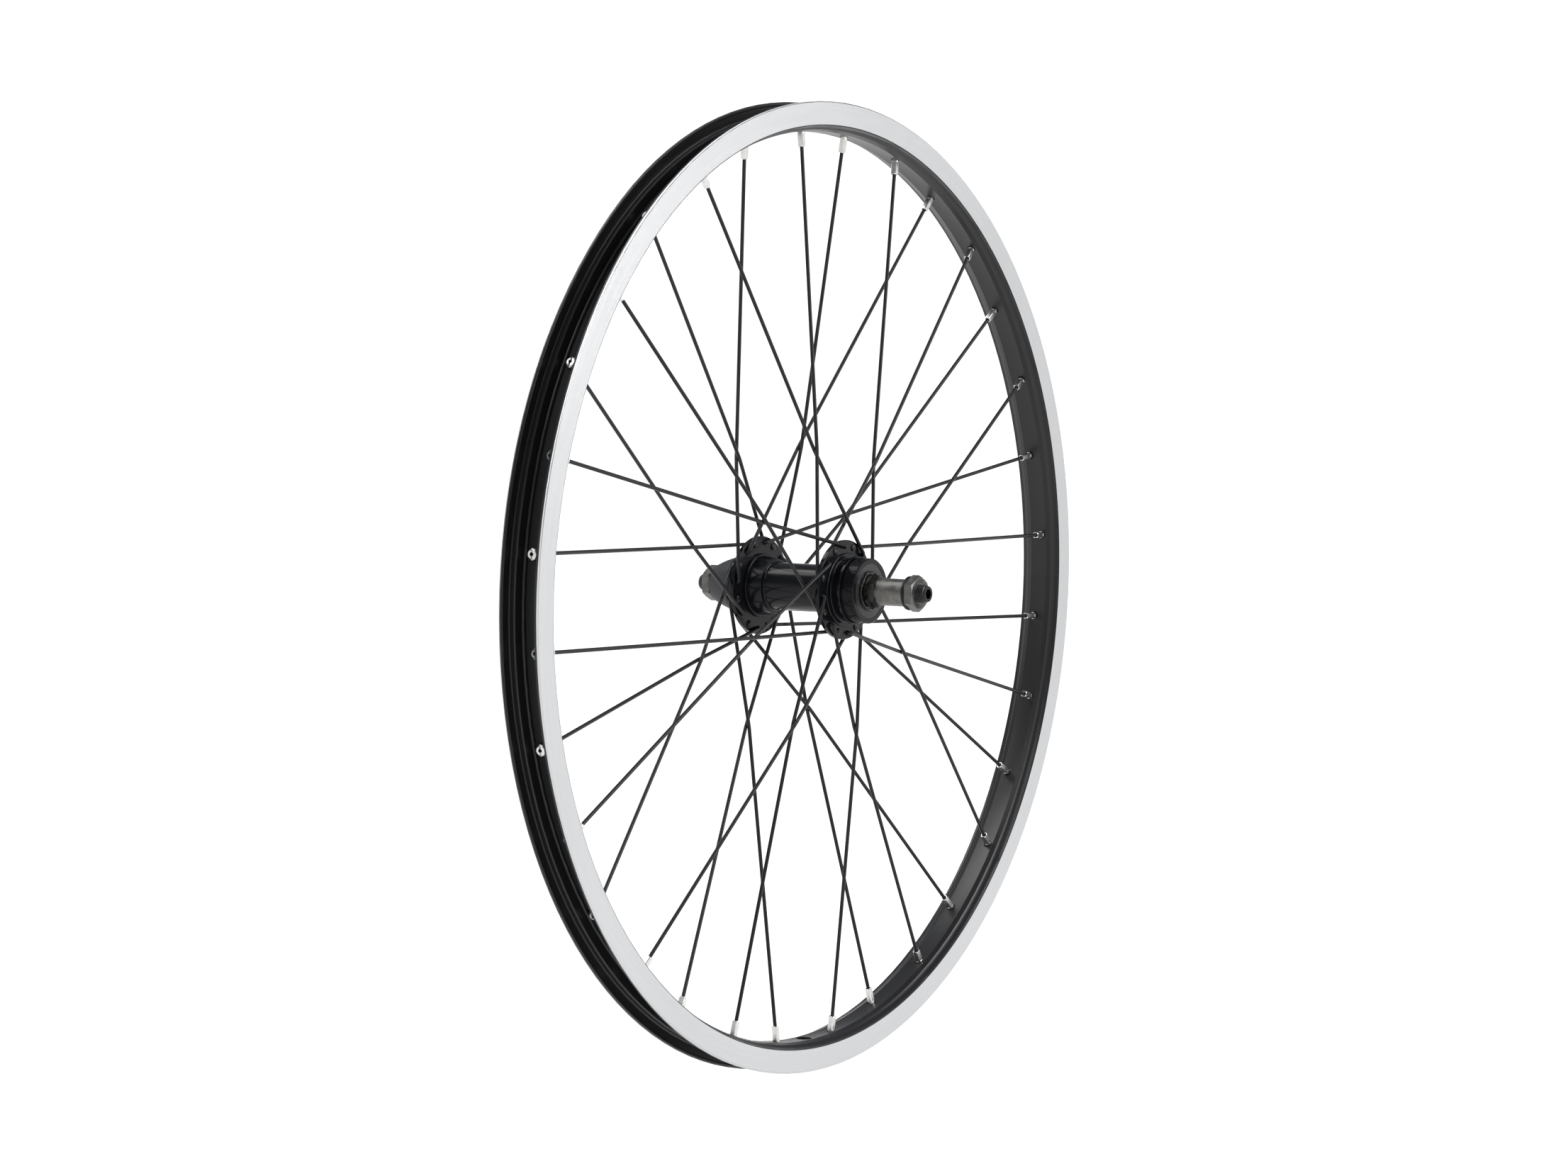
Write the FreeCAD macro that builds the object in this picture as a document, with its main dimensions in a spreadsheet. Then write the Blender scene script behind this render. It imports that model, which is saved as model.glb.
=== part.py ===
import FreeCAD, Part
import math
import os
import re
import Sketcher

# Rear bicycle wheel, 24 inch, 32 spokes crossed three times, with a hub for a screwed freewheel.
# Frame: origin at the wheel's centre, +Y along the axle towards the far side, +Z up.
# The side that carries the sprockets, the drive side, is at -Y. Millimetres and degrees.

os.makedirs("parts", exist_ok=True)
doc = FreeCAD.newDocument("rear_wheel")
Vec = FreeCAD.Vector
Rot = FreeCAD.Rotation
Place = FreeCAD.Placement
AXLE_AXIS = Vec(0, 1, 0)

# Driving dimensions, one cell each
DRIVING = {
    # rim
    "rim_radius": 260.0,
    "rim_width": 24.2,
    "bead_seat_depth": 6.5,
    "track_height": 12.4,
    "track_step": 0.25,
    "wall_thickness": 1.75,
    "hook_lip": 0.7,
    "hook_height": 2.0,
    "ledge_width": 3.6,
    "rim_height": 15.7,
    "bed_half_width": 5.0,
    "bed_crown": 70.0,
    "floor_thickness": 2.3,
    "well_corner": 1.6,
    "rim_corner": 3.2,
    "valve_hole_diameter": 8.5,
    # how far the wheel stands turned past valve hole down
    "rest_turn": 2.1,
    # spokes and nipples
    "spoke_count": 32,
    "crossings": 3,
    "spoke_diameter": 2.0,
    "elbow_radius": 1.8,
    "kink_radius": 20.0,
    "spoke_head_diameter": 3.8,
    "spoke_head_height": 1.1,
    "spoke_gap": 0.05,
    "nipple_stagger": 1.8,
    "nipple_body_diameter": 4.0,
    "nipple_flats": 3.3,
    "nipple_head_diameter": 6.0,
    "nipple_head_height": 2.7,
    "nipple_seat_height": 0.9,
    "nipple_below_bed": 8.2,
    "nipple_neck": 1.0,
    "nipple_slot_width": 1.0,
    "nipple_slot_depth": 1.1,
    "nipple_mouth_diameter": 2.7,
    "nipple_mouth_depth": 2.5,
    "nipple_hole_gap": 0.35,
    "thread_gap": 0.02,
    # hub shell
    "drive_flange_offset": 19.4,
    "far_flange_offset": 35.2,
    "flange_diameter": 53.4,
    "flange_thickness": 2.6,
    "flange_edge": 0.5,
    "flange_hole_circle": 46.5,
    "spoke_hole_gap": 0.35,
    "pad_diameter": 34.8,
    "pad_height": 1.8,
    "boss_diameter": 32.3,
    "shoulder_diameter": 29.9,
    "shoulder_offset": 9.5,
    "barrel_diameter": 25.8,
    "seat_pad_diameter": 39.6,
    "seat_pad_height": 1.0,
    "neck_diameter": 33.4,
    "collar_diameter": 36.6,
    "collar_inboard": 26.6,
    "collar_outboard": 28.3,
    "thread_relief_diameter": 33.6,
    "freewheel_thread_diameter": 34.9,
    "freewheel_thread_start": 29.8,
    "drive_shell_end": 36.4,
    "far_shell_end": 46.3,
    "far_boss_diameter": 31.6,
    "tunnel_diameter": 16.4,
    # bearings
    "drive_bearing_offset": 31.6,
    "far_bearing_offset": 41.5,
    "ball_diameter": 6.35,
    "ball_count": 9,
    "ball_gap": 0.22,
    "race_gap": 0.15,
    "cup_wall": 1.32,
    "cup_inboard": 4.6,
    "cup_outboard": 2.6,
    "dust_cap_diameter": 29.2,
    "dust_cap_thickness": 1.0,
    "dust_cap_recess": 0.2,
    "dust_cap_lip": 0.7,
    "seal_gap": 0.44,
    "press_gap": 0.01,
    # axle and what it clamps
    "axle_stub": 5.1,
    "dropout_relief": 0.2,
    "axle_diameter": 10.0,
    "axle_bore": 5.3,
    "axle_tip_diameter": 8.2,
    "axle_tip_length": 1.7,
    "over_locknuts": 135.0,
    "locknut_flats": 17.0,
    "locknut_thickness": 5.2,
    "locknut_chamfer": 0.7,
    "washer_diameter": 18.2,
    "washer_thickness": 1.4,
    "spacer_diameter": 14.6,
    "cone_flats": 15.0,
    "cone_hex_length": 5.6,
    "cone_length": 14.2,
    "cone_nose": 2.6,
    "boot_base_diameter": 30.6,
    "boot_tip_diameter": 18.8,
    "boot_lip": 1.2,
    "boot_wall": 1.4,
    "boot_gap": 0.6,
}

# Sizes that follow from them
DERIVED = {
    "bead_seat_radius": "rim_radius - bead_seat_depth",
    "bed_radius": "rim_radius - rim_height",
    "nipple_hole_diameter": "nipple_body_diameter + 2 * nipple_hole_gap",
    "flange_hole_diameter": "spoke_diameter + 2 * spoke_hole_gap",
    "axle_length": "over_locknuts + 2 * axle_stub",
    "track_radius": "rim_radius - track_height",
    "wall_inner": "rim_width / 2 - wall_thickness",
    "well_half_width": "wall_inner - ledge_width",
    "well_radius": "bed_radius + floor_thickness",
    "seat_radius": "bed_radius + floor_thickness / 2",
    "hole_radius": "flange_hole_circle / 2",
    "spoke_radius": "spoke_diameter / 2",
    "half_pitch": "360 / spoke_count",
    "lace_angle": "crossings * 720 / spoke_count",
    "lace_sine": "sin(lace_angle)",
    "span": "sqrt(seat_radius ^ 2 + hole_radius ^ 2 - 2 * seat_radius * hole_radius * cos(lace_angle))",
    "cross_radius": "seat_radius * hole_radius * lace_sine"
                    " / (seat_radius * sin(half_pitch) + hole_radius * sin(lace_angle - half_pitch))",
    "cross_span": "span - cross_radius * sin(half_pitch) * span / (hole_radius * lace_sine)",
    "exit_cosine": "(seat_radius * cos(lace_angle) - hole_radius) / span",
    "exit_span": "sqrt((hole_radius * exit_cosine) ^ 2 + flange_diameter ^ 2 / 4 - hole_radius ^ 2)"
                 " - hole_radius * exit_cosine",
    "face_height": "flange_thickness / 2 + spoke_radius + spoke_gap",
    "interlace": "spoke_radius + spoke_gap / 2",
    "drive_reach": "drive_flange_offset - nipple_stagger",
    "far_reach": "far_flange_offset - nipple_stagger",
    "drive_cross_height": "drive_reach * cross_span / span",
    "far_cross_height": "far_reach * cross_span / span",
    "drive_tilt": "(drive_reach - drive_cross_height + interlace) / (span - cross_span)",
    "far_tilt": "(far_reach - far_cross_height + interlace) / (span - cross_span)",
    "drive_lean": "sqrt(drive_tilt ^ 2 + (hole_radius * lace_sine / span) ^ 2)",
    "far_lean": "sqrt(far_tilt ^ 2 + (hole_radius * lace_sine / span) ^ 2)",
    "drive_seat_slack": "nipple_hole_diameter / 2 * drive_lean / sqrt(1 + drive_lean ^ 2) + spoke_gap",
    "far_seat_slack": "nipple_hole_diameter / 2 * far_lean / sqrt(1 + far_lean ^ 2) + spoke_gap",
    "ball_circle": "(ball_diameter + ball_gap) / sin(180 / ball_count)",
    "race_radius": "ball_diameter / 2 + race_gap",
    "cup_diameter": "ball_circle + ball_diameter + 2 * cup_wall",
    "cone_shoulder": "ball_circle / 2 - race_radius * 0.34",
    "axle_radius": "axle_diameter / 2",
    "axle_seat_radius": "axle_diameter / 2 + thread_gap",
    "drive_cone_end": "drive_bearing_offset - cone_nose + cone_length",
    "far_cone_end": "far_bearing_offset - cone_nose + cone_length",
    "locknut_inner": "over_locknuts / 2 - locknut_thickness",
    "washer_inner": "locknut_inner - washer_thickness",
    "boot_web_inner": "locknut_inner - boot_wall",
    "boot_base": "far_shell_end + boot_gap",
}

sheet = doc.addObject("Spreadsheet::Sheet", "sizes")
for row, (name, number) in enumerate(DRIVING.items(), 1):
    sheet.set("A%d" % row, name)
    sheet.set("B%d" % row, str(number))
    sheet.setAlias("B%d" % row, name)
for row, (name, formula) in enumerate(DERIVED.items(), len(DRIVING) + 1):
    sheet.set("A%d" % row, name)
    sheet.set("B%d" % row, "=" + formula)
    sheet.setAlias("B%d" % row, name)
doc.recompute()
NAMES = set(DRIVING) | set(DERIVED)
WORD = re.compile("[a-z_]+")


def size(name):
    """A number of the sheet."""
    return float(getattr(sheet, name))


def bound(text):
    """An expression on the sheet's names, as other objects write it."""
    return WORD.sub(lambda word: "sizes." + word.group() if word.group() in NAMES else word.group(), text)


def worth(text):
    """The present value of such an expression."""
    return float(sheet.evalExpression(text))


# Helpers for bodies and sketches

def new_body(label):
    body = doc.addObject("PartDesign::Body", label)
    body.Label = label
    return body


def origin_feature(body, role):
    return next(item for item in body.Origin.OriginFeatures if item.Role == role)


def new_sketch(body, name, role="XY_Plane"):
    sketch = body.newObject("Sketcher::SketchObject", name)
    sketch.AttachmentSupport = [(origin_feature(body, role), "")]
    sketch.MapMode = "FlatFace"
    return sketch


def drive_by(sketch, constraint, text):
    """Add a constraint whose value follows the sheet."""
    index = sketch.addConstraint(constraint)
    sketch.setExpression("Constraints[%d]" % index, bound(text))


def pin_point(sketch, curve, point, across, up):
    """Hold one point of a curve at two distances from the sketch's origin."""
    drive_by(sketch, Sketcher.Constraint("DistanceX", -1, 1, curve, point, worth(across)), across)
    drive_by(sketch, Sketcher.Constraint("DistanceY", -1, 1, curve, point, worth(up)), up)


def arc_through(start, end, radius, turn):
    """Arc from start to end: turn is +1 where it runs counter-clockwise and -1 where clockwise."""
    chord = end - start
    rise = math.sqrt(max(radius ** 2 - chord.Length ** 2 / 4, 0.0))
    normal = Vec(-chord.y, chord.x, 0).normalize()
    centre = (start + end) * 0.5 + normal * (rise * turn)
    first, last = (start, end) if turn > 0 else (end, start)
    angle_first = math.atan2(first.y - centre.y, first.x - centre.x)
    angle_last = math.atan2(last.y - centre.y, last.x - centre.x)
    return Part.ArcOfCircle(Part.Circle(centre, Vec(0, 0, 1), radius), angle_first, angle_last)


def outline(sketch, corners):
    """Closed outline: each corner is (across, up), or (across, up, radius, turn) where an arc leads
    to it from the corner before."""
    spots = [Vec(worth(corner[0]), worth(corner[1]), 0) for corner in corners]
    ends = []
    for index, corner in enumerate(corners):
        start, end = spots[index - 1], spots[index]
        if len(corner) == 4:
            curve = sketch.addGeometry(arc_through(start, end, worth(corner[2]), corner[3]), False)
            ends.append((curve, 1, 2) if corner[3] > 0 else (curve, 2, 1))
            drive_by(sketch, Sketcher.Constraint("Radius", curve, worth(corner[2])), corner[2])
        else:
            curve = sketch.addGeometry(Part.LineSegment(start, end), False)
            ends.append((curve, 1, 2))
    for index, corner in enumerate(corners):
        before, after = ends[index], ends[(index + 1) % len(ends)]
        sketch.addConstraint(Sketcher.Constraint("Coincident", before[0], before[2], after[0], after[1]))
        pin_point(sketch, before[0], before[2], corner[0], corner[1])


def circle(sketch, across, up, diameter):
    centre = Vec(worth(across), worth(up), 0)
    curve = sketch.addGeometry(Part.Circle(centre, Vec(0, 0, 1), worth(diameter) / 2))
    drive_by(sketch, Sketcher.Constraint("Diameter", curve, worth(diameter)), diameter)
    pin_point(sketch, curve, 3, across, up)


def hexagon(sketch, flats):
    """Six equal sides round the origin, flats apart as stated, with a corner straight up."""
    corner = worth(flats) / math.sqrt(3)
    turns = [math.radians(60 * i) for i in range(6)]
    spots = [Vec(corner * math.sin(turn), corner * math.cos(turn), 0) for turn in turns]
    ring = sketch.addGeometry(Part.Circle(Vec(0, 0, 0), Vec(0, 0, 1), corner), True)
    sketch.addConstraint(Sketcher.Constraint("Coincident", ring, 3, -1, 1))
    drive_by(sketch, Sketcher.Constraint("Radius", ring, corner), "(%s) / sqrt(3)" % flats)
    sides = [sketch.addGeometry(Part.LineSegment(spots[i], spots[(i + 1) % 6]), False) for i in range(6)]
    for i, side in enumerate(sides):
        sketch.addConstraint(Sketcher.Constraint("Coincident", side, 2, sides[(i + 1) % 6], 1))
        sketch.addConstraint(Sketcher.Constraint("PointOnObject", side, 1, ring))
        if i:
            sketch.addConstraint(Sketcher.Constraint("Equal", sides[0], side))
    sketch.addConstraint(Sketcher.Constraint("PointOnObject", sides[0], 1, -2))


def revolve(body, name, corners, axis="V_Axis"):
    """Turn an outline in the body's XY plane a full turn about the sketch's axis."""
    sketch = new_sketch(body, name + "_outline")
    outline(sketch, corners)
    feature = body.newObject("PartDesign::Revolution", name)
    feature.Profile = sketch
    feature.ReferenceAxis = (sketch, [axis])
    feature.Angle = 360.0
    sketch.Visibility = False
    return feature


def pad(body, name, sketch, length):
    feature = body.newObject("PartDesign::Pad", name)
    feature.Profile = sketch
    feature.Length = worth(length)
    feature.setExpression("Length", bound(length))
    return feature


def pocket(body, name, sketch, length, reverse=False):
    feature = body.newObject("PartDesign::Pocket", name)
    feature.Profile = sketch
    feature.Length = worth(length)
    feature.setExpression("Length", bound(length))
    feature.Reversed = reverse
    return feature


def polar(body, name, feature, count, role="Y_Axis"):
    pattern = body.newObject("PartDesign::PolarPattern", name)
    pattern.Originals = [feature]
    pattern.Axis = (origin_feature(body, role), [""])
    pattern.Angle = 360.0
    pattern.Occurrences = int(round(worth(count)))
    pattern.setExpression("Occurrences", bound(count))
    body.Tip = pattern
    return pattern


def lift(sketch, text):
    """Move a sketch along its own normal."""
    sketch.AttachmentOffset = Place(Vec(0, 0, worth(text)), Rot())
    sketch.setExpression("AttachmentOffset.Base.z", bound(text))


def turned(place):
    """A place on the wheel, with the wheel turned as it stands."""
    return Place(Vec(0, 0, 0), Rot(AXLE_AXIS, size("rest_turn"))).multiply(place)


parts = {}


# Rim: a single-wall extrusion bent to a hoop, with hooked sides, bead ledges and a deep centre well

def make_rim():
    body = new_body("rim")
    half = [
        ("well_radius", "well_half_width - well_corner"),
        ("well_radius + well_corner", "well_half_width", "well_corner", 1),
        ("bead_seat_radius - 0.6", "well_half_width + 0.3"),
        ("bead_seat_radius", "well_half_width + 0.9"),
        ("bead_seat_radius", "wall_inner - 0.9"),
        ("bead_seat_radius + 0.9", "wall_inner", "0.9", 1),
        ("rim_radius - hook_height", "wall_inner"),
        ("rim_radius - hook_height + 0.6", "wall_inner - hook_lip"),
        ("rim_radius - 0.5", "wall_inner - hook_lip"),
        ("rim_radius", "wall_inner - hook_lip + 0.5", "0.5", -1),
        ("rim_radius", "rim_width / 2 - 0.6"),
        ("rim_radius - 0.6", "rim_width / 2", "0.6", -1),
        ("track_radius", "rim_width / 2"),
        ("track_radius", "rim_width / 2 - track_step"),
        ("track_radius - 0.5", "rim_width / 2 - track_step"),
        ("bed_radius + 0.9", "bed_half_width + 2.6", "rim_corner + 1.6", -1),
        ("bed_radius", "bed_half_width"),
    ]
    mirrored = []
    for index in range(len(half) - 1, -1, -1):
        corner = half[index]
        following = half[index + 1] if index + 1 < len(half) else ()
        point = (corner[0], "-(%s)" % corner[1])
        mirrored.append(point + following[2:] if len(following) == 4 else point)
    mirrored[0] = mirrored[0] + ("bed_crown", -1)
    revolve(body, "hoop", half + mirrored)

    def drill(name, side, diameter, length, lean):
        sketch = new_sketch(body, name + "_circle", "YZ_Plane")
        sketch.AttachmentOffset = Place(Vec(0, 0, 0), Rot(Vec(1, 0, 0), worth(lean)))
        sketch.setExpression("AttachmentOffset.Rotation.Angle", bound(lean))
        circle(sketch, side, "0", diameter)
        return pocket(body, name, sketch, length, reverse=True)

    for name, side, lean in (
        ("drive", "-nipple_stagger", "-half_pitch / 2"),
        ("far", "nipple_stagger", "half_pitch / 2"),
    ):
        hole = drill(name + "_nipple_hole", side, "nipple_hole_diameter", "rim_radius", lean)
        polar(body, name + "_nipple_holes", hole, "spoke_count / 2")
    valve = new_sketch(body, "valve_circle", "XY_Plane")
    circle(valve, "0", "0", "valve_hole_diameter")
    body.Tip = pocket(body, "valve_hole", valve, "rim_radius")
    body.Placement = turned(Place())
    parts["rim"] = body


# Hub shell: turned flanges, bosses, barrel and freewheel thread, bored through and drilled for spokes

def make_hub_shell():
    body = new_body("hub_shell")
    flange_edge = "flange_diameter / 2"
    drive_out = "-(drive_flange_offset + flange_thickness / 2)"
    drive_in = "-(drive_flange_offset - flange_thickness / 2)"
    far_in = "far_flange_offset - flange_thickness / 2"
    far_out = "far_flange_offset + flange_thickness / 2"
    drive_cup, far_cup = "-(drive_bearing_offset - cup_inboard)", "far_bearing_offset - cup_inboard"
    drive_cap = "-(drive_shell_end - dust_cap_recess - dust_cap_thickness)"
    far_cap = "far_shell_end - dust_cap_recess - dust_cap_thickness"
    corners = [
        ("freewheel_thread_diameter / 2 - 0.5", "-drive_shell_end"),
        ("freewheel_thread_diameter / 2", "-drive_shell_end + 0.6"),
        ("freewheel_thread_diameter / 2", "-freewheel_thread_start"),
        ("thread_relief_diameter / 2", "-freewheel_thread_start + 0.3"),
        ("thread_relief_diameter / 2", "-collar_outboard"),
        ("collar_diameter / 2 - 0.3", "-collar_outboard"),
        ("collar_diameter / 2", "-collar_outboard + 0.3"),
        ("collar_diameter / 2", "-collar_inboard - 0.3"),
        ("collar_diameter / 2 - 0.3", "-collar_inboard"),
        ("neck_diameter / 2", "-collar_inboard"),
        ("neck_diameter / 2", drive_out + " - seat_pad_height - 0.8"),
        ("neck_diameter / 2 + 0.8", drive_out + " - seat_pad_height", "0.8", -1),
        ("seat_pad_diameter / 2 - 0.6", drive_out + " - seat_pad_height"),
        ("seat_pad_diameter / 2", drive_out + " - seat_pad_height + 0.6", "0.6", 1),
        ("seat_pad_diameter / 2", drive_out),
        (flange_edge + " - flange_edge", drive_out),
        (flange_edge, drive_out + " + flange_edge", "flange_edge", 1),
        (flange_edge, drive_in + " - flange_edge"),
        (flange_edge + " - flange_edge", drive_in, "flange_edge", 1),
        ("pad_diameter / 2", drive_in),
        ("pad_diameter / 2", drive_in + " + pad_height - 0.6"),
        ("pad_diameter / 2 - 0.6", drive_in + " + pad_height", "0.6", 1),
        ("boss_diameter / 2", drive_in + " + pad_height"),
        ("shoulder_diameter / 2", drive_in + " + shoulder_offset"),
        ("shoulder_diameter / 2 - 0.4", drive_in + " + shoulder_offset + 0.4", "0.4", 1),
        ("barrel_diameter / 2 + 1", drive_in + " + shoulder_offset + 0.4"),
        ("barrel_diameter / 2", drive_in + " + shoulder_offset + 1.4", "1", -1),
        ("barrel_diameter / 2", far_in + " - shoulder_offset - 1.4"),
        ("barrel_diameter / 2 + 1", far_in + " - shoulder_offset - 0.4", "1", -1),
        ("shoulder_diameter / 2 - 0.4", far_in + " - shoulder_offset - 0.4"),
        ("shoulder_diameter / 2", far_in + " - shoulder_offset", "0.4", 1),
        ("boss_diameter / 2", far_in + " - pad_height"),
        ("pad_diameter / 2 - 0.6", far_in + " - pad_height"),
        ("pad_diameter / 2", far_in + " - pad_height + 0.6", "0.6", 1),
        ("pad_diameter / 2", far_in),
        (flange_edge + " - flange_edge", far_in),
        (flange_edge, far_in + " + flange_edge", "flange_edge", 1),
        (flange_edge, far_out + " - flange_edge"),
        (flange_edge + " - flange_edge", far_out, "flange_edge", 1),
        ("far_boss_diameter / 2 + 1.2", far_out),
        ("far_boss_diameter / 2", far_out + " + 1.2", "1.2", -1),
        ("far_boss_diameter / 2", "far_shell_end - 0.5"),
        ("far_boss_diameter / 2 - 0.5", "far_shell_end"),
        ("dust_cap_diameter / 2 + press_gap", "far_shell_end"),
        ("dust_cap_diameter / 2 + press_gap", far_cap),
        ("cup_diameter / 2 + press_gap", far_cap),
        ("cup_diameter / 2 + press_gap", far_cup),
        ("tunnel_diameter / 2", far_cup),
        ("tunnel_diameter / 2", drive_cup),
        ("cup_diameter / 2 + press_gap", drive_cup),
        ("cup_diameter / 2 + press_gap", drive_cap),
        ("dust_cap_diameter / 2 + press_gap", drive_cap),
        ("dust_cap_diameter / 2 + press_gap", "-drive_shell_end"),
    ]
    revolve(body, "turned_shell", corners)
    for name, plane_height, lean in (
        ("drive", "drive_flange_offset + flange_thickness", "half_pitch / 2"),
        ("far", "-(far_flange_offset - flange_thickness)", "-half_pitch / 2"),
    ):
        sketch = new_sketch(body, name + "_spoke_hole_circle", "XZ_Plane")
        sketch.AttachmentOffset = Place(Vec(0, 0, worth(plane_height)), Rot(Vec(0, 0, 1), worth(lean)))
        sketch.setExpression("AttachmentOffset.Base.z", bound(plane_height))
        sketch.setExpression("AttachmentOffset.Rotation.Angle", bound(lean))
        circle(sketch, "hole_radius", "0", "flange_hole_diameter")
        hole = pocket(body, name + "_spoke_hole", sketch, "2 * flange_thickness")
        polar(body, name + "_spoke_holes", hole, "spoke_count / 2")
    body.Placement = turned(Place())
    parts["hub_shell"] = body


# Spokes: each is one wire, with a pressed head, a bend at the flange and a slight set at the last crossing

def place_in_flange(side, nipple_angle, hub_angle):
    """Frame at a flange hole: x along the spoke to its nipple, y outwards from the wheel's middle."""
    out = -1 if side == "drive" else 1
    hole = Rot(AXLE_AXIS, -hub_angle).multVec(Vec(size("hole_radius"), 0, 0))
    seat = Rot(AXLE_AXIS, -nipple_angle).multVec(Vec(size("seat_radius"), 0, 0))
    along = (seat - hole).normalize()
    outward = AXLE_AXIS * out
    base = hole + outward * size(side + "_flange_offset")
    return turned(Place(base, Rot(along, outward, along.cross(outward), "XYZ")))


def spoke_heights(side, outer):
    """Heights of the wire over the flange's middle: at the elbow, and at the last crossing."""
    weave = " + interlace" if not outer else " - interlace"
    cross = "(-%s_cross_height%s)" % (side, weave)
    if outer:
        elbow = "((face_height - %s * exit_span / cross_span) / (1 - exit_span / cross_span))" % cross
    else:
        elbow = "(-face_height)"
    return elbow, cross


def make_spoke(label, side, outer, nipple_angle, hub_angle):
    body = new_body(label)
    elbow, cross = spoke_heights(side, outer)
    head_side = -1 if outer else 1
    start = "%d * (flange_thickness / 2 + spoke_gap + spoke_head_height / 2)" % head_side
    reach = "-%s_reach" % side
    path = new_sketch(body, label + "_path")
    spots = [Vec(0, worth(start), 0), Vec(0, worth(elbow), 0), Vec(worth("cross_span"), worth(cross), 0),
             Vec(worth("span"), worth(reach), 0)]
    radii = ["elbow_radius", "kink_radius"]
    lines, arcs = [], []
    begin = spots[0]
    for index, radius in enumerate(radii):
        corner, following = spots[index + 1], spots[index + 2]
        inward = (corner - spots[index]).normalize()
        onward = (following - corner).normalize()
        angle = inward.getAngle(onward)
        back = worth(radius) * math.tan(angle / 2)
        turn = 1 if inward.cross(onward).z > 0 else -1
        first, last = corner - inward * back, corner + onward * back
        lines.append(path.addGeometry(Part.LineSegment(begin, first), False))
        arc = path.addGeometry(arc_through(first, last, worth(radius), turn), False)
        arcs.append((arc, 1, 2) if turn > 0 else (arc, 2, 1))
        begin = last
    lines.append(path.addGeometry(Part.LineSegment(begin, spots[3]), False))
    for index, radius in enumerate(radii):
        arc, first, last = arcs[index]
        path.addConstraint(Sketcher.Constraint("Tangent", lines[index], 2, arc, first))
        path.addConstraint(Sketcher.Constraint("Tangent", arc, last, lines[index + 1], 1))
        drive_by(path, Sketcher.Constraint("Radius", arc, worth(radius)), radius)
    path.addConstraint(Sketcher.Constraint("Vertical", lines[0]))
    pin_point(path, lines[0], 1, "0", start)
    elbow_mark = path.addGeometry(Part.Point(spots[1]), True)
    pin_point(path, elbow_mark, 1, "0", elbow)
    path.addConstraint(Sketcher.Constraint("PointOnObject", elbow_mark, 1, lines[1]))
    cross_mark = path.addGeometry(Part.Point(spots[2]), True)
    pin_point(path, cross_mark, 1, "cross_span", cross)
    path.addConstraint(Sketcher.Constraint("PointOnObject", cross_mark, 1, lines[1]))
    path.addConstraint(Sketcher.Constraint("PointOnObject", cross_mark, 1, lines[2]))
    pin_point(path, lines[2], 2, "span", reach)
    section = new_sketch(body, label + "_section", "XZ_Plane")
    lift(section, "-(%s)" % start)
    circle(section, "0", "0", "spoke_diameter")
    wire = body.newObject("PartDesign::AdditivePipe", label + "_wire")
    wire.Profile = section
    wire.Spine = (path, [])
    under = "%d * (flange_thickness / 2 + spoke_gap)" % head_side
    rim_edge = "%d * (flange_thickness / 2 + spoke_gap + spoke_head_height * 0.4)" % head_side
    top = "%d * (flange_thickness / 2 + spoke_gap + spoke_head_height)" % head_side
    dome = "(spoke_head_diameter ^ 2 / 4 + (spoke_head_height * 0.6) ^ 2) / (spoke_head_height * 1.2)"
    corners = [("0", under), ("spoke_head_diameter / 2", under), ("spoke_head_diameter / 2", rim_edge),
               ("0", top, dome, head_side)]
    revolve(body, label + "_head", corners)
    body.Placement = place_in_flange(side, nipple_angle, hub_angle)
    parts[label] = body


# Nipples: square below, round under a slotted head, each in line with its own spoke

def nipple_tilt(side, outer):
    """Slope of the spoke's last stretch against the wheel's plane, as a rise over its run."""
    rise = -size(side + "_reach") - worth(spoke_heights(side, outer)[1])
    return rise / (size("span") - size("cross_span"))


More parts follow.
